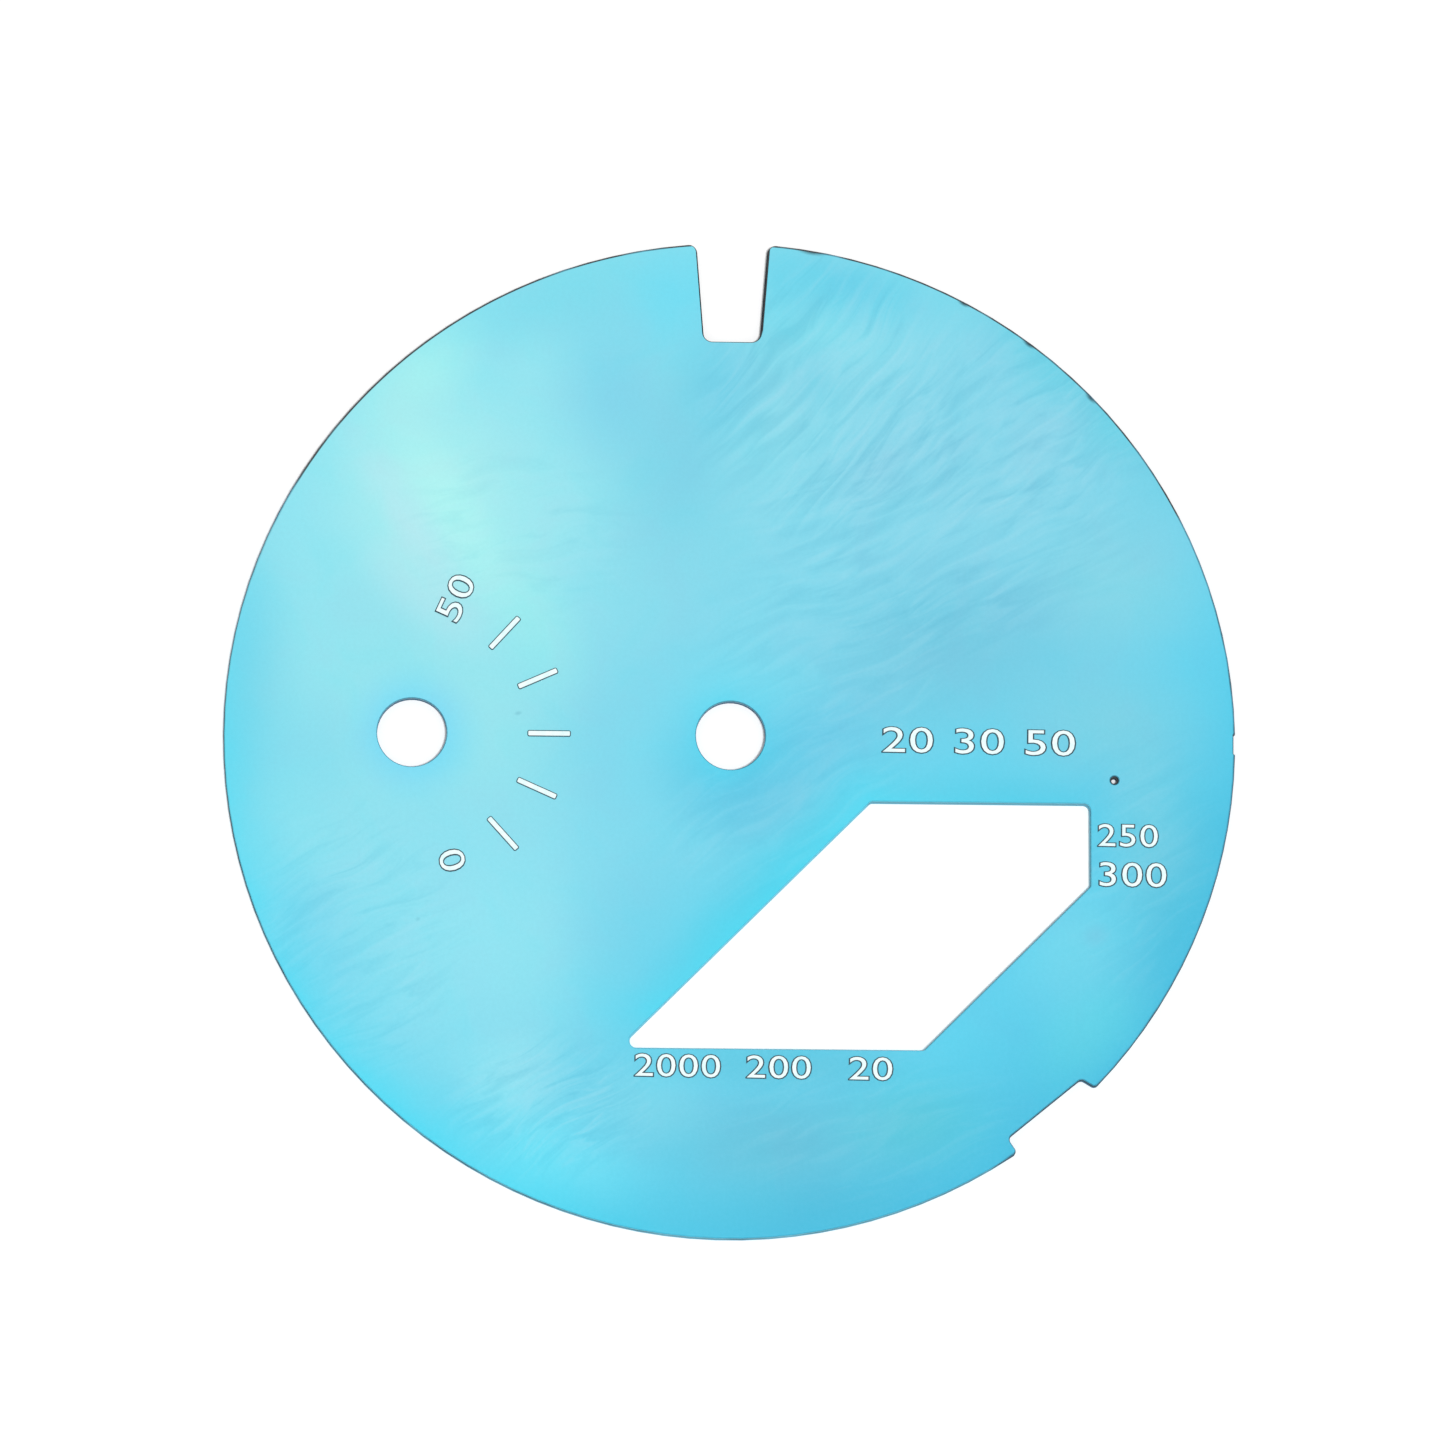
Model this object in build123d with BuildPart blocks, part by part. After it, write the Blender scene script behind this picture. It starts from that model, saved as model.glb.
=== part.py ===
from build123d import *
import os
from math import cos, radians, sin, tan

# Watch dial for an analog-digital wristwatch, all lengths in millimetres and
# all angles in degrees. The origin is the centre of the centre hand hole on
# the underside, +Y points to 12 o'clock and +Z out of the face.

# Layers, from the underside up
dial_diameter = 30.0
plate_thickness = 0.20
adhesive_thickness = 0.03
pearl_thickness = 0.12
edge_ledge = 0.02
adhesive_margin = 0.02
pearl_edge_break = 0.025

# Hand holes, one at the centre and one in the 9 o'clock sector
hand_hole_diameter = 2.06
sector_distance = 9.435

# Registration pinhole right of the display window's top edge, wider in the pearl
pinhole_diameter = 0.16
pinhole_pearl_diameter = 0.26
pinhole_right = 11.39
pinhole_drop = 1.23

# Locating notch at 12 o'clock, opening outwards
notch_turn = 0.0
notch_depth = 3.02
notch_floor_width = 1.66
notch_flare = 4.6
notch_floor_radius = 0.27
notch_mouth_radius = 0.25

# Shallow recess at about 4 o'clock, its flares on the 3 and 6 o'clock side
recess_turn = -140.6
recess_depth = 0.557
recess_floor_width = 2.79
recess_shift = 0.155
recess_upper_flare = 19.5
recess_lower_flare = 5.0
recess_corner_radius = 0.15
recess_tip_radius = 0.15

# Small nick at 3 o'clock
nick_turn = -90.4
nick_depth = 0.05
nick_width = 0.55
nick_flare = 40.0

# Display window: level top and bottom, upright right side, two slanted sides
window_slant = 45.0
window_top_drop = 1.957
window_bottom_drop = 9.349
window_right = 10.664
window_left_slant_distance = 4.326
window_right_slant_distance = 10.663
window_corner_radius = 0.14
window_tip_radius = 0.21

# Ticks of the sector scale, printed in white ink on wider dark ink
tick_count = 5
tick_step = 24.0
tick_start_radius = 3.445
tick_length = 1.23
tick_width = 0.136
tick_corner_radius = 0.03
key_margin = 0.028
key_ink_thickness = 0.012
white_ink_thickness = 0.025

# How far a cut runs past the rim
overrun = 1.0

# Places that follow from the sizes above
dial_radius = dial_diameter / 2
hand_hole_radius = hand_hole_diameter / 2
adhesive_base = plate_thickness
pearl_base = adhesive_base + adhesive_thickness
print_base = pearl_base + pearl_thickness
white_ink_base = print_base + key_ink_thickness

os.makedirs("parts", exist_ok=True)


def edge_cut(turn, floor_distance, floor_width, flares, corner_radius, shift=0.0):
    """Edges of a cut inwards from the rim, turned from 12 o'clock, with a straight floor."""
    reach = dial_radius + overrun
    left = shift - floor_width / 2
    right = shift + floor_width / 2
    left_reach = left - (reach - floor_distance) * tan(radians(flares[0]))
    right_reach = right + (reach - floor_distance) * tan(radians(flares[1]))
    with BuildLine(Plane.XY.rotated((0, 0, turn))) as profile:
        FilletPolyline(
            (left_reach, reach),
            (left, floor_distance),
            (right, floor_distance),
            (right_reach, reach),
            radius=[0, corner_radius, corner_radius, 0],
            close=True,
        )
    return profile.edges()


def slant_x(distance, height):
    """Sideways place of a slanted window side at the given height."""
    return (distance + height * cos(radians(window_slant))) / sin(radians(window_slant))


def slant_y(distance, side):
    """Height of a slanted window side at the given sideways place."""
    return (side * sin(radians(window_slant)) - distance) / cos(radians(window_slant))


def round_holes(pinhole_width):
    """Cut the hand holes, equally wide in every layer, and the pinhole from the sketch being drawn."""
    with Locations((0, 0), (-sector_distance, 0)):
        Circle(hand_hole_radius, mode=Mode.SUBTRACT)
    with Locations((pinhole_right, -pinhole_drop)):
        Circle(pinhole_width / 2, mode=Mode.SUBTRACT)


# The outline that all layers share, with its cut-outs and window
with BuildSketch() as outline:
    Circle(dial_radius)
    notch = edge_cut(
        notch_turn,
        dial_radius - notch_depth,
        notch_floor_width,
        (notch_flare, notch_flare),
        notch_floor_radius,
    )
    make_face(notch, mode=Mode.SUBTRACT)
    recess = edge_cut(
        recess_turn,
        dial_radius - recess_depth,
        recess_floor_width,
        (recess_upper_flare, recess_lower_flare),
        recess_corner_radius,
        shift=-recess_shift,
    )
    make_face(recess, mode=Mode.SUBTRACT)
    nick = edge_cut(nick_turn, dial_radius - nick_depth, nick_width, (nick_flare, nick_flare), 0)
    make_face(nick, mode=Mode.SUBTRACT)
    rim_corners = outline.vertices().group_by(SortBy.DISTANCE)[-1].sort_by(Axis.Y)
    fillet(rim_corners[-2:], radius=notch_mouth_radius)
    rim_corners = outline.vertices().group_by(SortBy.DISTANCE)[-1].sort_by(Axis.Y)
    fillet(rim_corners[:2], radius=recess_tip_radius)
    with BuildLine():
        FilletPolyline(
            (slant_x(window_left_slant_distance, -window_top_drop), -window_top_drop),
            (slant_x(window_left_slant_distance, -window_bottom_drop), -window_bottom_drop),
            (slant_x(window_right_slant_distance, -window_bottom_drop), -window_bottom_drop),
            (window_right, slant_y(window_right_slant_distance, window_right)),
            (window_right, -window_top_drop),
            radius=[
                window_corner_radius,
                window_tip_radius,
                window_corner_radius,
                window_corner_radius,
                window_tip_radius,
            ],
            close=True,
        )
    make_face(mode=Mode.SUBTRACT)

# Backing plate: the full outline, whose edge shows round the pearl
with BuildPart() as backing_plate:
    with BuildSketch():
        add(outline)
        round_holes(pinhole_diameter)
    extrude(amount=plate_thickness)
backing_plate.part.label = "backing_plate"
export_step(backing_plate.part, "parts/backing_plate.step")

# Adhesive film: a little smaller than the pearl on every edge but the round holes
with BuildPart() as adhesive_film:
    with BuildSketch(Plane.XY.offset(adhesive_base)):
        add(outline)
        offset(amount=-(edge_ledge + adhesive_margin))
        round_holes(pinhole_pearl_diameter)
    extrude(amount=adhesive_thickness)
adhesive_film.part.label = "adhesive_film"
export_step(adhesive_film.part, "parts/adhesive_film.step")

# Pearl face: set back from the plate's edge but flush at the hand holes, with
# its top edges broken
with BuildPart() as pearl_face:
    with BuildSketch(Plane.XY.offset(pearl_base)):
        add(outline)
        offset(amount=-edge_ledge)
        round_holes(pinhole_pearl_diameter)
    extrude(amount=pearl_thickness)
    chamfer(pearl_face.faces().sort_by(Axis.Z)[-1].edges(), length=pearl_edge_break)
pearl_face.part.label = "pearl_face"
export_step(pearl_face.part, "parts/pearl_face.step")


def tick_plane(number, height):
    """Plane at the sector hole, its x axis along the tick, number 0 topmost."""
    angle = radians(tick_step * ((tick_count - 1) / 2 - number))
    return Plane(origin=(-sector_distance, 0, height), x_dir=(cos(angle), sin(angle), 0), z_dir=(0, 0, 1))


# Sector ticks: dark ink under each, and white ink on it
for number in range(tick_count):
    with BuildPart() as tick_key:
        with BuildSketch(tick_plane(number, print_base)):
            with Locations((tick_start_radius + tick_length / 2, 0)):
                RectangleRounded(
                    tick_length + 2 * key_margin,
                    tick_width + 2 * key_margin,
                    tick_corner_radius + key_margin,
                )
        extrude(amount=key_ink_thickness)
    tick_key.part.label = f"sector_tick_key_{number + 1}"
    export_step(tick_key.part, f"parts/{tick_key.part.label}.step")

    with BuildPart() as tick:
        with BuildSketch(tick_plane(number, white_ink_base)):
            with Locations((tick_start_radius + tick_length / 2, 0)):
                RectangleRounded(tick_length, tick_width, tick_corner_radius)
        extrude(amount=white_ink_thickness)
    tick.part.label = f"sector_tick_{number + 1}"
    export_step(tick.part, f"parts/{tick.part.label}.step")
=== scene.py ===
import math

import bpy
from mathutils import Euler, Matrix, Vector


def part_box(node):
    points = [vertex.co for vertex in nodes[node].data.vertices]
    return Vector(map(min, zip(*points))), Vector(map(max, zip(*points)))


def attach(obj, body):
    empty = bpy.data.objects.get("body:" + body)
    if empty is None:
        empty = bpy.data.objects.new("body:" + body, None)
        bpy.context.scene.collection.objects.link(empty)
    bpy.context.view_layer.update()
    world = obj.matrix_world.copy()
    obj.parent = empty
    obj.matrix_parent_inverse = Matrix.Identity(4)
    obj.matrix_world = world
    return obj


# Watch dial with a dyed mother-of-pearl face. Lengths are in millimetres, MM
# turns them to metres, and turns are in degrees. +Y points to 12 o'clock.
MM = 0.001

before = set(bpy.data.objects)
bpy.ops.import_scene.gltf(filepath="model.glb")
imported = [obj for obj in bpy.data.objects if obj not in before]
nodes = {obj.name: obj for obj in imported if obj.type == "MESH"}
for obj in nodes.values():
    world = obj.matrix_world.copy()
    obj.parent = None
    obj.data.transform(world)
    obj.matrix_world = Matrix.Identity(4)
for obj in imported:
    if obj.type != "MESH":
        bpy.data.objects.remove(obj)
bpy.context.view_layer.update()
bpy.ops.object.select_all(action="DESELECT")
scene = bpy.context.scene
scene.view_settings.view_transform = "Standard"

# Read from the model: the heights of the polished face and of its two inks,
# and the dial's radius, rounded because flat facets stand inside the circle
face_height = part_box("pearl_face")[1].z / MM
key_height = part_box("sector_tick_key_1")[1].z / MM
ink_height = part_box("sector_tick_1")[1].z / MM
dial_radius = round(-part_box("backing_plate")[0].x / MM, 1)

# Openings that the finishes follow, in the model's sizes. Both slanted sides
# of the display window lie at 45 degrees.
hand_hole_radius = 1.03
window_top_drop = 1.957
window_bottom_drop = 9.349
window_right = 10.664
window_left_slant_distance = 4.326
window_right_slant_distance = 10.663
notch_depth = 3.02
notch_floor_width = 1.66
notch_flare = 4.6

# Sides of the window and of the notch: direction out of the opening, and
# distance from the dial's centre
slant = math.sqrt(0.5)
window_sides = [
    ((0, 1, 0), -window_top_drop),
    ((0, -1, 0), window_bottom_drop),
    ((1, 0, 0), window_right),
    ((-slant, slant, 0), -window_left_slant_distance),
    ((slant, -slant, 0), window_right_slant_distance),
]
side_across = math.cos(math.radians(notch_flare))
side_down = -math.sin(math.radians(notch_flare))
notch_floor = dial_radius - notch_depth
notch_side_distance = notch_floor_width / 2 * side_across + notch_floor * side_down
notch_right_side = ((side_across, side_down, 0), notch_side_distance)
notch_left_side = ((-side_across, side_down, 0), notch_side_distance)
notch_sides = [((0, -1, 0), -notch_floor), notch_right_side, notch_left_side]

# Darkness of a cut edge from dye and lacquer, with painted shade that is deepest
# on sides facing away from the light: 0 is none, 1 is almost black. Round the
# window it is a share of the hand holes' value.
hand_hole_dye_and_shade = 0.65
window_dye_and_shade_share = 0.12
window_top_dye_and_shade_share = 0.30

# The rim's dye and painted shade by place round the dial, darkest at the top and
# upper left, as a share of a turn: 0 and 1 at 9 o'clock, 0.25 at 6 o'clock, 0.5 at
# 3 o'clock and 0.75 at 12 o'clock
rim_dye_and_shade_stops = [
    (0.00, 0.31),
    (0.12, 0.28),
    (0.24, 0.21),
    (0.338, 0.26),
    (0.342, 0.58),
    (0.378, 0.58),
    (0.382, 0.42),
    (0.43, 0.62),
    (0.54, 0.82),
    (0.64, 1.00),
    (0.80, 1.00),
    (0.84, 1.25),
    (0.89, 1.20),
    (0.93, 0.58),
    (0.97, 0.36),
]

# Past the broken edge a strip a hair's breadth wide is painted dark as a shadow: how
# far it reaches in from the rim and how softly it ends, and its middle and half its
# width as distances from the notch's right side
rim_shadow_strip_reach = 0.075
rim_shadow_strip_fade = 0.008
notch_shadow_strip_middle = 0.052
notch_shadow_strip_half_width = 0.018

# Clouds of colour in the pearl: place, reach, turn, colour and strength. The
# pale green-white ones at the upper left are a painted sheen.
clouds = [
    ((8.5, 8.0), (9.5, 7.5), 0, "#7dd2e8", 0.90),
    ((10.9, 10.9), (2.6, 8.0), 45, "#5acce2", 0.85),
    ((0.0, 13.5), (9.5, 3.6), 0, "#69d4eb", 0.70),
    ((-5.4, 13.2), (5.0, 2.0), 20, "#6cd6ea", 0.50),
    ((-1.5, 8.6), (3.6, 6.0), -10, "#6acde6", 0.76),
    ((-0.3, 10.8), (2.2, 2.6), 0, "#52c8e6", 0.50),
    ((-1.7, 13.3), (2.2, 2.8), 0, "#5cdcf7", 0.46),
    ((1.5, 13.4), (1.2, 2.4), 0, "#5ed4ec", 0.38),
    ((2.3, 10.9), (1.7, 1.7), 0, "#5cc4e0", 0.45),
    ((3.4, 13.8), (4.6, 1.7), -14, "#50cce8", 0.70),
    ((-7.6, -5.6), (6.0, 7.4), 8, "#8ae3f2", 0.85),
    ((-5.9, -7.6), (1.8, 5.2), -3, "#92e2ee", 0.25),
    ((-2.8, -6.4), (2.4, 4.4), 22, "#6bcde8", 0.40),
    ((-10.5, 1.5), (5.0, 6.0), 0, "#8ae0ec", 0.54),
    ((-6.9, 0.8), (3.2, 5.6), 10, "#96e8ee", 0.50),
    ((-14.7, 0.8), (2.6, 8.0), 0, "#6ecae2", 0.65),
    ((-3.7, 10.5), (2.6, 3.6), 0, "#62c8e8", 0.50),
    ((-9.2, 4.5), (3.8, 1.5), -46, "#b4e4f0", 0.50),
    ((-8.9, 7.4), (5.8, 4.2), -58, "#a6eff0", 0.90),
    ((-5.9, 3.6), (3.6, 1.8), -62, "#98f0ee", 0.45),
    ((-9.3, 10.9), (3.0, 1.8), 44, "#a6f4f0", 0.60),
    ((-8.3, 6.6), (4.4, 1.4), -60, "#b0f8f4", 0.50),
    ((-9.5, 6.4), (4.0, 1.0), -55, "#bce6f2", 0.42),
    ((6.4, 2.9), (6.4, 3.6), 8, "#69c5df", 0.80),
    ((0.4, -1.1), (3.5, 2.9), 0, "#64b2d6", 0.82),
    ((2.9, 0.0), (2.8, 2.2), 0, "#5dbce0", 0.48),
    ((0.9, -4.9), (7.2, 1.5), 45, "#3bc2dc", 0.50),
    ((7.4, -1.75), (4.6, 1.0), 0, "#5cbad2", 0.34),
    ((1.6, -9.75), (5.6, 1.1), 0, "#50b4cc", 0.40),
    ((-9.44, 0.0), (2.4, 2.4), 0, "#58d6fb", 0.82),
    ((-12.2, -0.7), (2.0, 2.8), 0, "#6cd2ea", 0.38),
    ((-14.5, 3.6), (1.6, 2.6), 0, "#58d6f0", 0.32),
    ((-12.7, -6.2), (2.2, 3.4), 20, "#78d0ea", 0.62),
    ((11.6, 4.6), (3.8, 3.2), 0, "#80d4e4", 0.60),
    ((11.2, 0.2), (4.4, 3.2), 0, "#80cede", 0.60),
    ((1.6, -12.3), (6.0, 3.0), 3, "#5cbcd6", 0.80),
    ((5.6, -11.6), (3.4, 2.2), 0, "#48c3d3", 0.60),
    ((-5.4, -12.8), (4.4, 2.6), -25, "#72e8fa", 0.65),
    ((-6.6, -10.3), (2.4, 1.9), -20, "#98e8f4", 0.52),
    ((-2.4, -11.0), (3.0, 2.0), 0, "#88dcea", 0.30),
    ((13.8, -5.5), (3.4, 7.0), 8, "#3cbcd8", 0.60),
    ((10.4, -6.4), (3.0, 3.4), 0, "#7adcee", 0.50),
    ((12.6, -3.0), (2.2, 3.4), 0, "#80d0e0", 0.45),
    ((10.9, -9.1), (3.0, 2.2), 40, "#62e4ea", 0.48),
    ((0.0, -14.8), (8.0, 2.0), 0, "#40bcdc", 0.65),
    ((3.8, -14.2), (5.0, 1.8), 0, "#34b0d0", 0.50),
    ((9.6, 9.4), (3.0, 1.2), 45, "#93d2e8", 0.30),
    ((4.6, 8.4), (2.6, 1.0), 48, "#90d2e8", 0.30),
    ((10.8, -5.9), (0.6, 0.5), 20, "#78c0de", 0.35),
]

# Two faint specks on the left, and four dark marks at the edge at the upper
# right, listed as the clouds are
specks = [
    ((-6.3, 0.6), (0.16, 0.09), 10, "#4f9fb4", 0.38),
    ((-9.2, -5.6), (0.12, 0.09), 40, "#5aa9bd", 0.30),
]
rim_dark_marks = [
    ((2.38, 14.77), (0.56, 0.16), -9, "#04161e", 1.00),
    ((6.94, 13.22), (0.26, 0.11), -28, "#0c3240", 1.00),
    ((8.88, 12.00), (0.30, 0.11), -37, "#0c3240", 1.00),
    ((10.74, 10.37), (0.30, 0.12), -46, "#0c3240", 1.00),
]

# Groups of growth lines: place, reach, turn, length, pitch and strength
line_groups = [
    ((6.0, 9.0), (9.5, 7.5), 47, 5.0, 1.20, 0.14),
    ((2.8, 10.3), (4.6, 5.6), 52, 3.0, 0.36, 0.56),
    ((8.3, 9.3), (5.0, 4.4), 37, 1.8, 0.32, 0.40),
    ((6.0, 6.0), (7.5, 4.2), 24, 2.2, 0.36, 0.38),
    ((3.0, 2.6), (5.0, 3.8), 30, 2.0, 0.40, 0.28),
    ((-11.4, -6.6), (4.6, 5.4), 34, 1.8, 0.28, 0.38),
    ((-5.4, -11.2), (3.8, 2.8), 36, 1.4, 0.26, 0.50),
    ((4.4, -11.8), (6.0, 3.0), 22, 2.0, 0.34, 0.18),
    ((2.0, -2.4), (5.0, 4.4), 38, 2.0, 0.34, 0.30),
    ((12.3, -4.2), (3.4, 6.0), 35, 1.8, 0.34, 0.20),
    ((-6.4, 6.0), (4.4, 3.4), 14, 1.8, 0.44, 0.26),
]

# Printed numbers: name, digits, middle, height, width and turn of each
numbers = [
    ("sector_number_upper", "50", (-8.19, 4.06), 0.74, 1.36, 66),
    ("sector_number_lower", "0", (-8.20, -3.83), 0.74, 0.60, -73),
    ("scale_numbers", "20 30 50", (7.36, -0.10), 0.75, 5.70, -0.6),
    ("right_number_upper", "250", (11.78, -2.89), 0.66, 1.76, -0.6),
    ("right_number_lower", "300", (11.90, -4.06), 0.71, 1.97, -0.6),
    ("lower_number_left", "2000", (-1.53, -9.88), 0.66, 2.50, -0.6),
    ("lower_number_middle", "200", (1.45, -9.90), 0.66, 1.88, -0.6),
    ("lower_number_right", "20", (4.16, -9.92), 0.67, 1.26, -0.6),
]

# Their type: the height of a digit as a share of the type's size, and the
# space between digits as a share of the usual one
digit_height_share = 0.694
digit_space_share = 1.06

# How far the white ink reaches past the drawn stroke, and the dark ink past
# the white
white_spread = -0.003
key_spread = 0.030

# Nearly all values of a noise lie between these two
NOISE_SPAN = {"From Min": 0.3, "From Max": 0.7}


def linear(hex_colour):
    """An sRGB hex colour as the linear colour that a socket takes."""
    parts = [int(hex_colour[i:i + 2], 16) / 255 for i in (1, 3, 5)]
    return (*[p / 12.92 if p <= 0.04045 else ((p + 0.055) / 1.055) ** 2.4 for p in parts], 1.0)


def in_use(sockets, name=None):
    """The first of a node's sockets that is in use, and has the name if one is given."""
    return next(s for s in sockets if s.enabled and name in (None, s.name))


def add(tree, kind, inputs=None, stops=None, **settings):
    """Adds one node with its settings, its inputs and the stops of its colour ramp.

    An input goes by name or number, and takes a value, another node's output
    or that node itself, which stands for its first output in use.
    """
    node = tree.nodes.new("ShaderNode" + kind)
    for name, value in settings.items():
        setattr(node, name, value)
    for key, value in (inputs or {}).items():
        socket = in_use(node.inputs, key) if isinstance(key, str) else node.inputs[key]
        if isinstance(value, bpy.types.Node):
            value = in_use(value.outputs)
        if isinstance(value, bpy.types.NodeSocket):
            tree.links.new(value, socket)
        else:
            socket.default_value = value
    for number, (position, colour) in enumerate(stops or []):
        elements = node.color_ramp.elements
        stop = elements[number] if number < len(elements) else elements.new(position)
        stop.position = position
        stop.color = colour
    return node


def new_finish(name):
    """A material and its empty node tree."""
    finish = bpy.data.materials.new(name)
    finish.use_nodes = True
    tree = finish.node_tree
    tree.nodes.clear()
    return finish, tree


def place_on_dial(tree):
    """The place on the dial in millimetres."""
    coordinates = add(tree, "TexCoord")
    return add(
        tree, "VectorMath", {0: coordinates.outputs["Object"], "Scale": 1 / MM}, operation="SCALE"
    )


def without_height(tree, place):
    """A place on the dial as seen from straight above."""
    return add(tree, "VectorMath", {0: place, 1: (1, 1, 0)}, operation="MULTIPLY")


def past_side(tree, flat, side):
    """How far a place lies past a straight side, out of its opening."""
    direction, distance = side
    along = add(tree, "VectorMath", {0: flat, 1: direction}, operation="DOT_PRODUCT")
    return add(tree, "Math", {0: along, 1: distance}, operation="SUBTRACT")


def past_sides(tree, flat, sides):
    """How far a place lies outside an opening with straight sides."""
    farthest = past_side(tree, flat, sides[0])
    for side in sides[1:]:
        farthest = add(
            tree, "Math", {0: farthest, 1: past_side(tree, flat, side)}, operation="MAXIMUM"
        )
    return farthest


def edge_dye_and_shade(tree, flat):
    """How dark the cut edge is at a place, from dye and lacquer with painted shade.

    The notch and the top of the rim are darkest, then the hand holes and the
    rest of the rim. The window is lightest, its top side a little darker.
    """
    turned = add(tree, "TexGradient", {"Vector": flat}, gradient_type="RADIAL")
    rim_dye_and_shade = add(
        tree,
        "ValToRGB",
        {"Fac": turned.outputs["Fac"]},
        stops=[(position, (dye_and_shade, dye_and_shade, dye_and_shade, 1)) for position, dye_and_shade in rim_dye_and_shade_stops],
    )
    patchy = add(tree, "TexNoise", {"Vector": flat, "Scale": 0.9, "Detail": 2.0})
    varied = add(tree, "MapRange", {"Value": patchy, **NOISE_SPAN, "To Min": 0.75, "To Max": 1.15})
    rim_dye_and_shade = add(tree, "Math", {0: rim_dye_and_shade, 1: varied}, operation="MULTIPLY")

    # The rim's value holds in the outermost millimetre, the holes' value inside it
    from_centre = add(tree, "VectorMath", {0: flat}, operation="LENGTH")
    dye_and_shade = add(
        tree,
        "MapRange",
        {
            "Value": from_centre,
            "From Min": dial_radius - 1.2,
            "From Max": dial_radius - 0.8,
            "To Min": hand_hole_dye_and_shade,
            "To Max": rim_dye_and_shade,
        },
    )
    # The notch's edges are painted darkest, as shade
    from_notch = past_sides(tree, flat, notch_sides)
    in_notch = add(tree, "MapRange", {"Value": from_notch, "From Min": 0.3, "From Max": 0.15})
    dye_and_shade = add(tree, "Math", {0: dye_and_shade, 1: in_notch}, operation="MAXIMUM")

    # At the window it drops to a share, larger along its top, which gets extra painted shade
    height = add(tree, "SeparateXYZ", {0: flat})
    window_share = add(
        tree,
        "MapRange",
        {
            "Value": height.outputs["Y"],
            "From Min": -2.2,
            "From Max": -2.0,
            "To Min": window_dye_and_shade_share,
            "To Max": window_top_dye_and_shade_share,
        },
    )
    share = add(
        tree,
        "MapRange",
        {
            "Value": past_sides(tree, flat, window_sides),
            "From Min": 0.05,
            "From Max": 0.1,
            "To Min": window_share,
        },
    )
    return add(tree, "Math", {0: dye_and_shade, 1: share}, operation="MULTIPLY")


def patch_share(tree, flat, middle, reach, turn, strength, full_at=1.0):
    """How much an oval patch shows: strength in its middle, nothing past its reach.

    Full_at is where on the way in it is at full strength, from 0 at its reach
    to 1 at its very middle.
    """
    spot = add(
        tree,
        "Mapping",
        {
            "Vector": flat,
            "Location": (*middle, 0),
            "Rotation": (0, 0, math.radians(turn)),
            "Scale": (*reach, 1),
        },
        vector_type="TEXTURE",
    )
    fade = add(tree, "TexGradient", {"Vector": spot}, gradient_type="SPHERICAL")
    return add(
        tree,
        "MapRange",
        {"Value": fade.outputs["Fac"], "From Max": full_at, "To Max": strength},
        interpolation_type="SMOOTHSTEP",
    )


def clouded_blue(tree, flat, drift):
    """The pearl's blue with a painted sheen, paler at the upper left, and clouds, specks and marks on
    it.
    """
    # The pearl's blue drifts paler towards the upper left: a painted sheen
    colour = add(
        tree,
        "ValToRGB",
        {"Fac": drift},
        stops=[
            (0.00, linear("#8ae2f0")),
            (0.23, linear("#8fe3ef")),
            (0.40, linear("#7bd6eb")),
            (0.50, linear("#78d6ec")),
            (0.63, linear("#68cfe9")),
            (0.77, linear("#59cfec")),
            (0.87, linear("#50cfed")),
            (0.97, linear("#40c4e4")),
        ],
    )
    for middle, reach, turn, tint, strength in clouds + specks + rim_dark_marks:
        share = patch_share(tree, flat, middle, reach, turn, strength)
        colour = add(
            tree, "Mix", {"Factor": share, "A": colour, "B": linear(tint)}, data_type="RGBA"
        )
    return colour


def growth_lines(tree, flat, swayed):
    """The growth lines of all groups, below 0 where pale and above 0 where dark."""
    lines = None
    for middle, reach, turn, length, pitch, strength in line_groups:
        share = patch_share(tree, flat, middle, reach, 0, strength, full_at=0.6)
        stretched = add(
            tree,
            "Mapping",
            {
                "Vector": swayed,
                "Location": (*middle, 0),
                "Rotation": (0, 0, math.radians(turn)),
                "Scale": (length, pitch, 1),
            },
            vector_type="TEXTURE",
        )
        grain = add(
            tree,
            "TexNoise",
            {"Vector": stretched, "Scale": 1.0, "Detail": 3.0, "Roughness": 0.5, "Distortion": 0.6},
            noise_dimensions="2D",
        )
        drawn = add(
            tree, "MapRange", {"Value": grain, "From Min": 0.28, "From Max": 0.72, "To Min": -1.0}
        )
        group = add(tree, "Math", {0: drawn, 1: share}, operation="MULTIPLY")
        lines = group if lines is None else add(tree, "Math", {0: lines, 1: group}, operation="ADD")
    return lines


def with_growth_lines(tree, colour, lines):
    """The colour with the lines drawn on it, dark ones stronger than pale ones."""
    dark = add(tree, "Math", {0: lines, 1: 0.85}, operation="MULTIPLY", use_clamp=True)
    pale = add(tree, "Math", {0: lines, 1: -0.45}, operation="MULTIPLY", use_clamp=True)
    darker = add(
        tree,
        "Mix",
        {"Factor": dark, "A": colour, "B": linear("#c0e6ee")},
        data_type="RGBA",
        blend_type="MULTIPLY",
    )
    return add(tree, "Mix", {"Factor": pale, "A": darker, "B": linear("#a8e3f3")}, data_type="RGBA")


def with_rose_and_green(tree, colour, swayed):
    """The colour with patches one to three millimetres wide that lean to rose or to green."""
    hue = add(
        tree,
        "TexNoise",
        {"Vector": swayed, "Scale": 0.5, "Detail": 3.0, "Roughness": 0.6, "Distortion": 0.4},
        noise_dimensions="2D",
    )
    leaning = add(
        tree,
        "ValToRGB",
        {"Fac": hue},
        stops=[
            (0.30, (0.97, 1.00, 0.99, 1)),
            (0.50, (1.03, 1.00, 0.99, 1)),
            (0.70, (1.05, 0.98, 0.98, 1)),
        ],
    )
    return add(tree, "VectorMath", {0: colour, 1: leaning}, operation="MULTIPLY")


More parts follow.
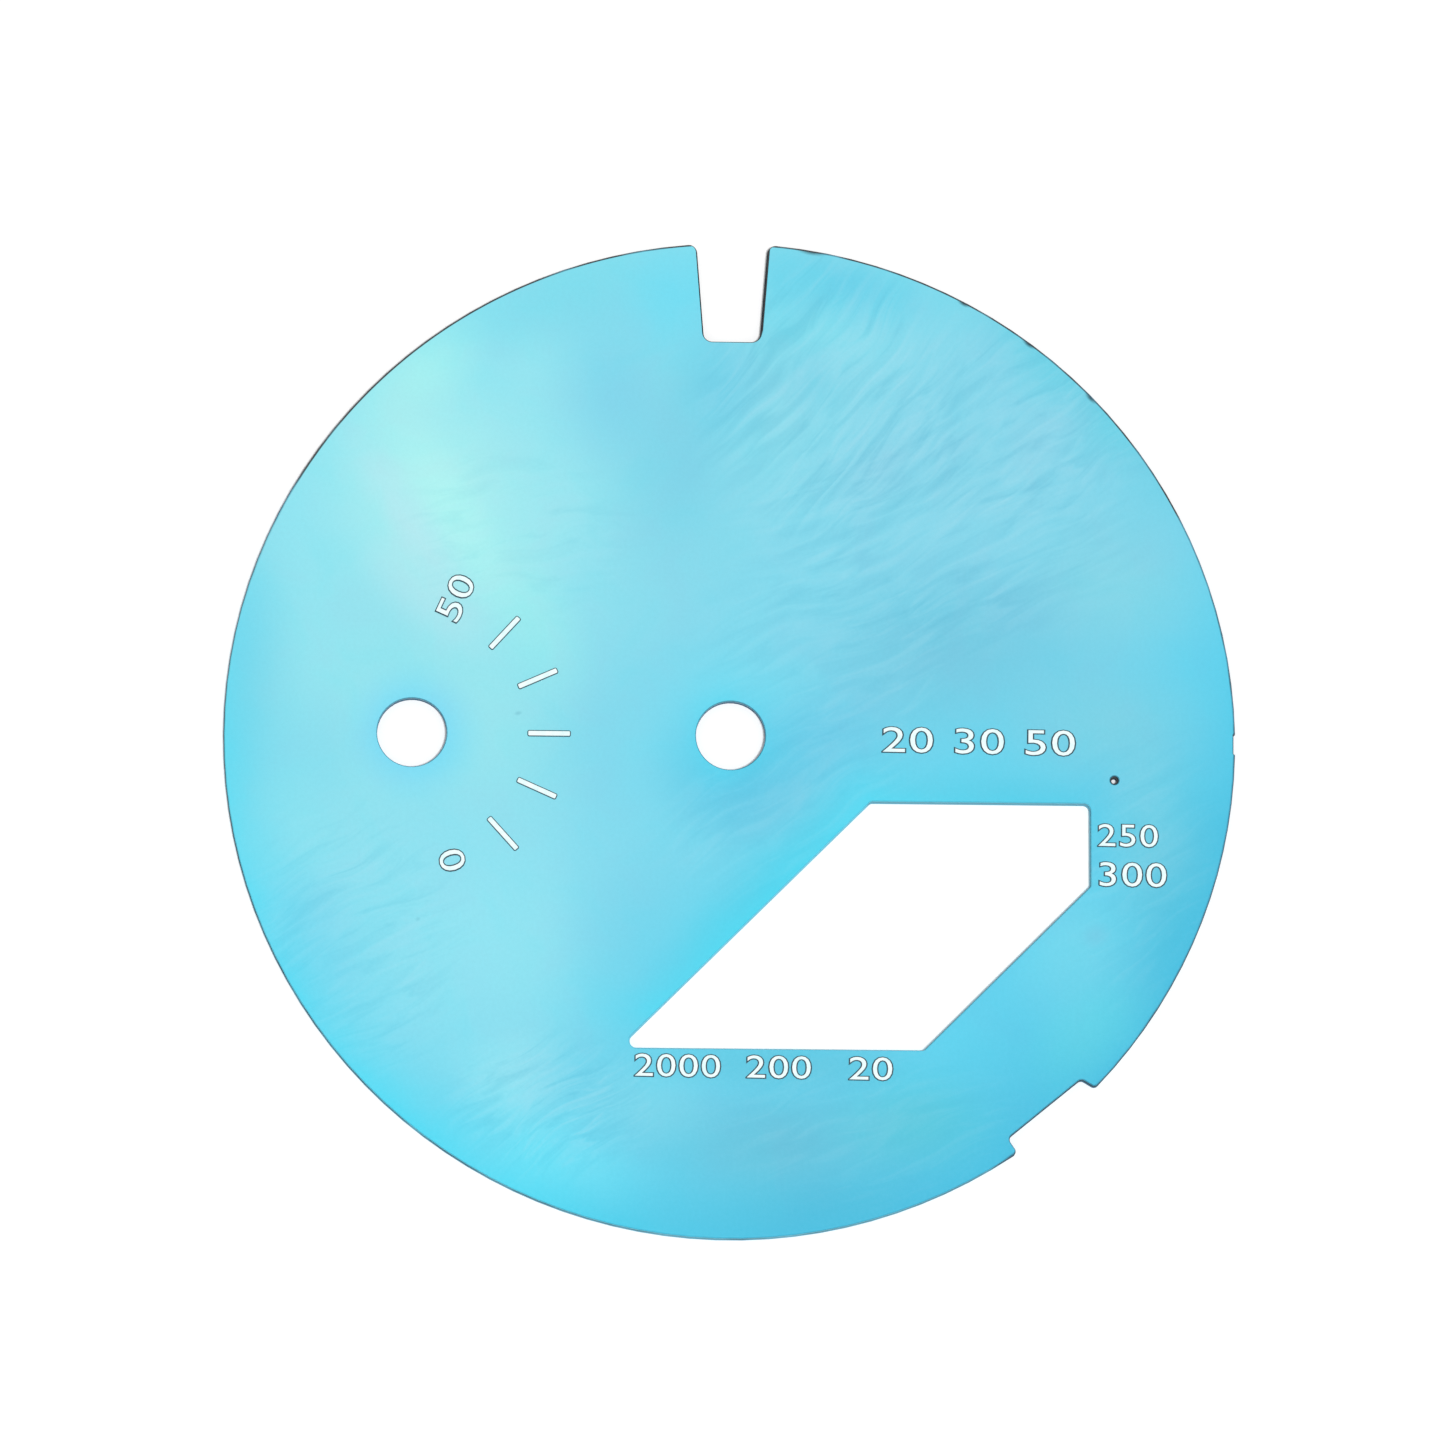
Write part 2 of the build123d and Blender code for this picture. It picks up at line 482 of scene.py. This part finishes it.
def dye_depth(tree, flat, from_rim, to_lower_right):
    """How deep a place lies in from the nearest edge that took up dye.

    These are the rim, the centre hole and the window. The window took up
    less, its lower side little and its right slant none, so they count as
    0.2 to 3 mm farther away than they are.
    """
    from_centre = add(tree, "VectorMath", {0: flat}, operation="LENGTH")
    from_hole = add(tree, "Math", {0: from_centre, 1: hand_hole_radius}, operation="SUBTRACT")
    height = add(tree, "SeparateXYZ", {0: flat})
    right_slant = add(
        tree,
        "MapRange",
        {
            "Value": to_lower_right,
            "From Min": 8.5,
            "From Max": 10.3,
            "To Min": 0.2,
            "To Max": 3.0,
        },
    )
    lower_side = add(
        tree,
        "MapRange",
        {"Value": height.outputs["Y"], "From Min": -8.0, "From Max": -9.5, "To Max": 1.6},
        interpolation_type="SMOOTHSTEP",
    )
    from_window = past_sides(tree, flat, window_sides)
    for farther in (right_slant, lower_side):
        from_window = add(tree, "Math", {0: from_window, 1: farther}, operation="ADD")
    depth = from_rim
    for other in (from_hole, from_window):
        depth = add(tree, "Math", {0: depth, 1: other}, operation="MINIMUM")
    return depth


def with_soaked_dye(tree, colour, flat, depth, drift):
    """The colour with the dye that soaked in from the edges.

    It is strong at the edge, halves with every 0.9 mm and is mostly gone
    2.5 mm inside. There is hardly any along the top of the dial, and it is
    deeper in tone at the lower right.
    """
    faded = add(tree, "Math", {0: depth, 1: -0.75}, operation="MULTIPLY")
    soaked = add(tree, "Math", {0: faded}, operation="EXPONENT")
    height = add(tree, "SeparateXYZ", {0: flat})
    lower = add(
        tree,
        "MapRange",
        {
            "Value": height.outputs["Y"],
            "From Min": 7.0,
            "From Max": -4.0,
            "To Min": 0.06,
            "To Max": 0.76,
        },
        interpolation_type="SMOOTHSTEP",
    )
    uneven = add(
        tree,
        "TexNoise",
        {"Vector": flat, "Scale": 0.32, "Detail": 3.0, "Roughness": 0.5},
        noise_dimensions="2D",
    )
    amount = add(tree, "MapRange", {"Value": uneven, **NOISE_SPAN, "To Min": 0.8, "To Max": 1.15})
    taken = add(tree, "Math", {0: lower, 1: amount}, operation="MULTIPLY")
    share = add(tree, "Math", {0: soaked, 1: taken}, operation="MULTIPLY", use_clamp=True)
    dye = add(
        tree,
        "ValToRGB",
        {"Fac": drift},
        stops=[(0.66, linear("#26dbf6")), (0.88, linear("#2abade"))],
    )
    return add(tree, "Mix", {"Factor": share, "A": colour, "B": dye}, data_type="RGBA")


def nacre_wall(tree, place, dye_and_shade):
    """Colour of a cut wall, which shows the shell's level layers and is darker with dye and painted
    shade where dye_and_shade is heavier.

    Real layers are under 0.001 mm thick, these are drawn 0.02 mm thick so
    that they show.
    """
    layered = add(tree, "VectorMath", {0: place, 1: (1.2, 1.2, 45)}, operation="MULTIPLY")
    layers = add(tree, "TexNoise", {"Vector": layered, "Scale": 1.0, "Detail": 2.0})
    tone = add(tree, "Math", {0: layers, 1: -0.3, 2: dye_and_shade}, operation="MULTIPLY_ADD")
    return add(
        tree,
        "ValToRGB",
        {"Fac": tone},
        stops=[
            (0.00, linear("#84d8ec")),
            (0.20, linear("#3c9cba")),
            (0.50, linear("#136c8c")),
            (0.85, linear("#082e3c")),
        ],
    )


def painted_shadow_strip(tree, flat, from_rim, dye_and_shade):
    """A painted shadow past the broken edge: on the rim and beside the notch's right side.

    Only edges with heavy painted shade have such a strip, and the notch's side has it
    above the rounded corner of its floor.
    """
    from_side = past_side(tree, flat, notch_right_side)
    beside_notch = add(
        tree,
        "Math",
        {0: from_side, 1: notch_shadow_strip_middle, 2: notch_shadow_strip_half_width},
        operation="COMPARE",
    )
    height = add(tree, "SeparateXYZ", {0: flat})
    above_corner = add(
        tree,
        "MapRange",
        {"Value": height.outputs["Y"], "From Min": notch_floor + 0.22, "From Max": notch_floor + 0.34},
    )
    beside_notch = add(tree, "Math", {0: beside_notch, 1: above_corner}, operation="MULTIPLY")
    beside_rim = add(
        tree,
        "MapRange",
        {
            "Value": from_rim,
            "From Min": rim_shadow_strip_reach + rim_shadow_strip_fade,
            "From Max": rim_shadow_strip_reach - rim_shadow_strip_fade,
        },
    )
    bordering = add(tree, "Math", {0: beside_notch, 1: beside_rim}, operation="MAXIMUM")
    heavy = add(tree, "MapRange", {"Value": dye_and_shade, "From Min": 0.4, "From Max": 1.0})
    return add(tree, "Math", {0: bordering, 1: heavy}, operation="MULTIPLY")


def with_shaded_broken_edge(tree, colour, flat, from_rim, dye_and_shade, facing):
    """The broken edge and the strip past it, darkened by dye and painted shade, almost black where
    heaviest.
    """
    true_parts = add(tree, "SeparateXYZ", {0: facing.outputs["True Normal"]})
    sloping = add(
        tree, "Math", {0: true_parts.outputs["Z"], 1: slant, 2: 0.12}, operation="COMPARE"
    )
    strip = painted_shadow_strip(tree, flat, from_rim, dye_and_shade)
    share = add(
        tree, "Math", {0: sloping, 1: dye_and_shade, 2: strip}, operation="MULTIPLY_ADD", use_clamp=True
    )
    # Dark dye colours, which also paint shade on the edge
    dye = add(
        tree,
        "ValToRGB",
        {"Fac": dye_and_shade},
        stops=[
            (0.30, linear("#0a5a76")),
            (0.65, linear("#12708e")),
            (0.95, linear("#03161e")),
        ],
    )
    return add(tree, "Mix", {"Factor": share, "A": colour, "B": dye}, data_type="RGBA")


def dyed_polished_nacre():
    """Blue dyed mother-of-pearl, lapped flat and polished, under a thin clear coat.

    The eye sees a pale sky blue that drifts to mauve and green, soft clouds, the
    pale ones a painted sheen where the growth layers lean towards the light, faint
    wavy growth lines, a deeper blue beside every cut edge, where the dye has soaked
    in, and cut edges darkened by dye and painted shade.
    """
    finish, tree = new_finish("dyed_polished_nacre")
    place = place_on_dial(tree)
    flat = without_height(tree, place)
    to_lower_right = add(
        tree, "VectorMath", {0: flat, 1: (slant, -slant, 0)}, operation="DOT_PRODUCT"
    )
    drift = add(
        tree,
        "MapRange",
        {"Value": to_lower_right, "From Min": -dial_radius, "From Max": dial_radius},
    )
    from_centre = add(tree, "VectorMath", {0: flat}, operation="LENGTH")
    from_rim = add(tree, "Math", {0: dial_radius, 1: from_centre}, operation="SUBTRACT")

    # The growth lines bend a little over a few millimetres
    sway = add(
        tree,
        "TexNoise",
        {"Vector": flat, "Scale": 0.16, "Detail": 2.0, "Roughness": 0.5},
        noise_dimensions="2D",
    )
    swayed = add(
        tree,
        "VectorMath",
        {0: sway.outputs["Color"], 1: (1.8, 1.8, 0.0), 2: flat},
        operation="MULTIPLY_ADD",
    )
    lines = growth_lines(tree, flat, swayed)

    colour = clouded_blue(tree, flat, drift)
    colour = with_growth_lines(tree, colour, lines)
    colour = with_rose_and_green(tree, colour, swayed)
    depth = dye_depth(tree, flat, from_rim, to_lower_right)
    colour = with_soaked_dye(tree, colour, flat, depth, drift)

    # Fine mottling of the shell tablets. Real ones are under 0.01 mm, these
    # are drawn 0.1 mm wide so that they show.
    tablets = add(
        tree,
        "TexNoise",
        {"Vector": flat, "Scale": 10.0, "Detail": 2.0, "Roughness": 0.6},
        noise_dimensions="2D",
    )
    mottle = add(
        tree,
        "MapRange",
        {"Value": tablets, "From Min": 0.25, "From Max": 0.75, "To Min": 0.988, "To Max": 1.012},
    )
    colour = add(tree, "VectorMath", {0: colour, "Scale": mottle}, operation="SCALE")

    # Cut edges and walls darkened by dye and painted shade
    dye_and_shade = edge_dye_and_shade(tree, flat)
    facing = add(tree, "NewGeometry")
    colour = with_shaded_broken_edge(tree, colour, flat, from_rim, dye_and_shade, facing)
    parts = add(tree, "SeparateXYZ", {0: facing.outputs["Normal"]})
    upright = add(
        tree, "MapRange", {"Value": parts.outputs["Z"], "From Min": 0.3, "From Max": 0.05}
    )
    colour = add(
        tree,
        "Mix",
        {"Factor": upright, "A": colour, "B": nacre_wall(tree, place, dye_and_shade)},
        data_type="RGBA",
    )

    # Growth lines can be felt as a ripple of a few thousandths of a
    # millimetre. The face is polished, and sawn walls are matt.
    ripple = add(tree, "Bump", {"Height": lines, "Strength": 0.05, "Distance": 0.01 * MM})
    polish = add(tree, "MapRange", {"Value": tablets, **NOISE_SPAN, "To Min": 0.16, "To Max": 0.22})
    matt = add(tree, "Math", {0: upright, 1: 0.6, 2: polish}, operation="MULTIPLY_ADD")
    shader = add(
        tree,
        "BsdfPrincipled",
        {
            "Base Color": colour,
            "Roughness": matt,
            "IOR": 1.53,
            "Coat Weight": 0.1,
            "Coat Roughness": 0.1,
            "Normal": ripple,
        },
    )
    add(tree, "OutputMaterial", {"Surface": shader})
    return finish


def sprayed_blue_lacquer():
    """Blue lacquer sprayed thinly on a brushed metal plate.

    The eye sees a satin blue with the brush lines just telling through, the
    faint dimples of sprayed lacquer, and a painted shade line, almost black, on the
    narrow ledge round the pearl.
    narrow ledge round the pearl.
    """
    finish, tree = new_finish("sprayed_blue_lacquer")
    place = place_on_dial(tree)
    flat = without_height(tree, place)

    # Brush lines of the metal below, 0.1 mm apart, running level
    brushed = add(tree, "VectorMath", {0: place, 1: (0.25, 9.0, 9.0)}, operation="MULTIPLY")
    strokes = add(
        tree, "TexNoise", {"Vector": brushed, "Scale": 1.0, "Detail": 3.0, "Roughness": 0.6}
    )
    clouding = add(tree, "TexNoise", {"Vector": place, "Scale": 0.35, "Detail": 3.0})
    body = add(
        tree,
        "ValToRGB",
        {"Fac": clouding},
        stops=[(0.3, linear("#2f7f9e")), (0.7, linear("#3b93b2"))],
    )
    thin = add(
        tree,
        "MapRange",
        {"Value": strokes, "From Min": 0.35, "From Max": 0.75, "To Min": 0.0, "To Max": 0.35},
    )
    colour = add(
        tree, "Mix", {"Factor": thin, "A": body, "B": linear("#5aaecb")}, data_type="RGBA"
    )

    # Walls hold a deeper coat, and painted shade, darkest in the notch
    dye_and_shade = edge_dye_and_shade(tree, flat)
    parts = add(tree, "SeparateXYZ", {0: add(tree, "NewGeometry").outputs["Normal"]})
    level = add(tree, "Math", {0: parts.outputs["Z"]}, operation="ABSOLUTE")
    upright = add(tree, "MapRange", {"Value": level, "From Min": 0.5, "From Max": 0.1})
    coat = add(
        tree,
        "ValToRGB",
        {"Fac": dye_and_shade},
        stops=[
            (0.10, linear("#80d0e6")),
            (0.35, linear("#3a94b2")),
            (0.65, linear("#0c5c7c")),
            (1.00, linear("#041c26")),
        ],
    )
    colour = add(tree, "Mix", {"Factor": upright, "A": colour, "B": coat}, data_type="RGBA")

    # The narrow ledge is painted almost black as the shade under the pearl's
    # edge, but round the window it is painted lighter
    facing_up = add(
        tree, "MapRange", {"Value": parts.outputs["Z"], "From Min": 0.5, "From Max": 0.9}
    )
    painted_ledge_shade = add(
        tree,
        "ValToRGB",
        {"Fac": dye_and_shade},
        stops=[(0.12, linear("#74c4da")), (0.30, linear("#04141b"))],
    )
    colour = add(tree, "Mix", {"Factor": facing_up, "A": colour, "B": painted_ledge_shade}, data_type="RGBA")

    # Dimples 0.2 mm wide lie over the brush lines, and the walls are duller
    # than the level faces
    dimples = add(tree, "TexNoise", {"Vector": place, "Scale": 5.0, "Detail": 1.0})
    skin = add(tree, "Math", {0: strokes, 1: 0.5, 2: dimples}, operation="MULTIPLY_ADD")
    relief = add(tree, "Bump", {"Height": skin, "Strength": 0.15, "Distance": 0.02 * MM})
    satin = add(tree, "MapRange", {"Value": clouding, **NOISE_SPAN, "To Min": 0.36, "To Max": 0.46})
    walled = add(tree, "Math", {0: 1.0, 1: level}, operation="SUBTRACT")
    matt = add(tree, "Math", {0: walled, 1: 0.45, 2: satin}, operation="MULTIPLY_ADD")
    shader = add(
        tree,
        "BsdfPrincipled",
        {"Base Color": colour, "Roughness": matt, "Specular IOR Level": 0.35, "Normal": relief},
    )
    add(tree, "OutputMaterial", {"Surface": shader})
    return finish


def cured_clear_adhesive():
    """Clear bonding resin, pressed thin and cured.

    The eye sees a glossy pale aqua seam with a few denser streaks where the
    resin gathered.
    """
    finish, tree = new_finish("cured_clear_adhesive")
    gathered = add(
        tree, "TexNoise", {"Vector": place_on_dial(tree), "Scale": 2.2, "Detail": 2.0}
    )
    tint = add(
        tree,
        "ValToRGB",
        {"Fac": gathered},
        stops=[(0.35, linear("#79bccb")), (0.65, linear("#a4dbe5"))],
    )
    gloss = add(tree, "MapRange", {"Value": gathered, "To Min": 0.12, "To Max": 0.3})
    shader = add(
        tree,
        "BsdfPrincipled",
        {"Base Color": tint, "Roughness": gloss, "IOR": 1.5, "Transmission Weight": 0.25},
    )
    add(tree, "OutputMaterial", {"Surface": shader})
    return finish


def pad_printed_ink(name, thick, thin, satin):
    """Pad printed ink, cured hard, a little thinner and rougher in small patches.

    The eye sees a crisp edge and an even satin colour that lets a trace of
    the face through where the film is thin.
    """
    finish, tree = new_finish(name)
    film = add(
        tree,
        "TexNoise",
        {"Vector": place_on_dial(tree), "Scale": 4.5, "Detail": 3.0, "Roughness": 0.55},
    )
    tint = add(
        tree,
        "ValToRGB",
        {"Fac": film},
        stops=[(0.32, linear(thin)), (0.58, linear(thick))],
    )
    gloss = add(
        tree, "MapRange", {"Value": film, **NOISE_SPAN, "To Min": satin + 0.08, "To Max": satin}
    )
    relief = add(tree, "Bump", {"Height": film, "Strength": 0.1, "Distance": 0.01 * MM})
    shader = add(
        tree,
        "BsdfPrincipled",
        {"Base Color": tint, "Roughness": gloss, "Specular IOR Level": 0.3, "Normal": relief},
    )
    add(tree, "OutputMaterial", {"Surface": shader})
    return finish


def cover(piece, finish):
    """Gives a piece its finish all over."""
    piece.data.materials.clear()
    piece.data.materials.append(finish)


def settle(piece):
    """Takes an object's place, turn and size into its mesh."""
    piece.data.transform(piece.matrix_world)
    piece.matrix_world = Matrix.Identity(4)


def ink_film(name, digits, middle, height, width, turn, low, high, spread):
    """Raised ink in the shape of a number, whose white film is height by width.

    The number is set in type, fitted to its height and width, and stands from
    low to high above the underside. Spread is how far the ink reaches past
    the drawn stroke.
    """
    bpy.ops.object.select_all(action="DESELECT")
    bpy.ops.object.text_add()
    type_set = bpy.context.object
    type_set.data.body = digits
    type_set.data.size = (height - 2 * white_spread) / digit_height_share
    type_set.data.align_x = "CENTER"
    type_set.data.align_y = "BOTTOM_BASELINE"
    # A finer curve folds over itself in the narrow bay of the figure three
    type_set.data.resolution_u = 4
    type_set.data.space_character = digit_space_share
    bpy.context.view_layer.update()
    drawn_width = type_set.dimensions.x
    type_set.data.offset = spread
    type_set.data.extrude = (high - low) / 2
    bpy.ops.object.convert(target="MESH")
    film = bpy.context.object
    film.name = name
    film.data.name = name
    stretch = width / (drawn_width + 2 * white_spread)
    film.matrix_world = (
        Matrix.Translation(Vector((*middle, (low + high) / 2)) * MM)
        @ Matrix.Rotation(math.radians(turn), 4, "Z")
        @ Matrix.Diagonal((stretch * MM, MM, MM, 1))
        @ Matrix.Translation((0, white_spread - height / 2, 0))
    )
    settle(film)
    bpy.ops.object.mode_set(mode="EDIT")
    bpy.ops.mesh.select_all(action="SELECT")
    bpy.ops.mesh.remove_doubles(threshold=0.0001 * MM)
    bpy.ops.mesh.normals_make_consistent(inside=False)
    bpy.ops.object.mode_set(mode="OBJECT")
    return film


def seen_by_eye(tree):
    """1 where something is seen directly, mirrored or through glass, 0 where it only gives light."""
    rays = add(tree, "LightPath")
    seen = rays.outputs["Is Camera Ray"]
    for kind in ("Is Glossy Ray", "Is Transmission Ray"):
        seen = add(tree, "Math", {0: seen, 1: rays.outputs[kind]}, operation="MAXIMUM")
    return seen


def lay_paper():
    """White paper just below the dial, which takes its soft shadow and glows a little where seen."""
    sheet_width = 500
    gap = 0.01
    glow_strength = 0.12
    bpy.ops.object.select_all(action="DESELECT")
    bpy.ops.mesh.primitive_plane_add(size=sheet_width * MM, location=(0, 0, -gap * MM))
    floor = bpy.context.object
    floor.name = "floor"
    settle(floor)
    paper, tree = new_finish("white_paper")
    sheet = add(tree, "BsdfDiffuse", {"Color": linear("#fcfcfc")})
    share = add(tree, "Math", {0: seen_by_eye(tree), 1: glow_strength}, operation="MULTIPLY")
    glow = add(tree, "Emission", {"Color": (1, 1, 1, 1), "Strength": share})
    laid = add(tree, "AddShader", {0: sheet, 1: glow})
    add(tree, "OutputMaterial", {"Surface": laid})
    floor.data.materials.append(paper)


def light_room():
    """An even pale room, white where it is seen."""
    room = bpy.data.worlds.new("studio")
    scene.world = room
    room.use_nodes = True
    tree = room.node_tree
    tree.nodes.clear()
    soft = add(tree, "Background", {"Color": (1, 1, 1, 1), "Strength": 0.35})
    white = add(tree, "Background", {"Color": (1, 1, 1, 1), "Strength": 1.0})
    around = add(tree, "MixShader", {0: seen_by_eye(tree), 1: soft, 2: white})
    add(tree, "OutputWorld", {"Surface": around})


def hang_lamp():
    """One soft lamp, high up at the lower right."""
    elevation = math.radians(77)
    turn = math.radians(-50)
    distance = 450
    towards_lamp = Vector((
        math.cos(elevation) * math.cos(turn),
        math.cos(elevation) * math.sin(turn),
        math.sin(elevation),
    ))
    bpy.ops.object.light_add(type="SUN", location=towards_lamp * distance * MM)
    lamp = bpy.context.object
    lamp.name = "key_lamp"
    lamp.rotation_euler = towards_lamp.to_track_quat("Z", "Y").to_euler()
    lamp.data.angle = math.radians(8)
    lamp.data.energy = 2.1


def set_up_camera():
    """A long lens, almost straight above and a little to the lower left."""
    turns = [math.radians(turn) for turn in (10.52, -2.152, 0.218)]
    aim = Vector((-0.317, 0.460, face_height))
    distance = 244.686
    camera_data = bpy.data.cameras.new("camera")
    camera_data.lens = 206.49
    camera_data.clip_start = 10 * MM
    camera = bpy.data.objects.new("camera", camera_data)
    scene.collection.objects.link(camera)
    camera.rotation_euler = Euler(turns, "XYZ")
    camera.location = (aim + camera.rotation_euler.to_matrix() @ Vector((0, 0, distance))) * MM
    scene.camera = camera


nacre = dyed_polished_nacre()
lacquer = sprayed_blue_lacquer()
adhesive = cured_clear_adhesive()
white_ink = pad_printed_ink("white_pad_printed_ink", "#f2ffff", "#def9fb", 0.4)
key_ink = pad_printed_ink("dark_pad_printed_ink", "#0e3340", "#1f4a58", 0.42)

layer_finishes = {"backing_plate": lacquer, "adhesive_film": adhesive, "pearl_face": nacre}
for name, node in nodes.items():
    if name.startswith("sector_tick_key"):
        cover(node, key_ink)
    elif name.startswith("sector_tick"):
        cover(node, white_ink)
    else:
        cover(node, layer_finishes[name])

# Each number is a dark film on the face and a white film on the dark one
films = [
    ("_key", key_ink, "dark_pad_ink", face_height, key_height, white_spread + key_spread),
    ("_white", white_ink, "white_pad_ink", key_height, ink_height, white_spread),
]
for name, *setting in numbers:
    for ending, ink, slot, low, high, spread in films:
        film = ink_film(name + ending, *setting, low, high, spread)
        cover(film, ink)
        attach(film, "root")

lay_paper()
light_room()
hang_lamp()
set_up_camera()
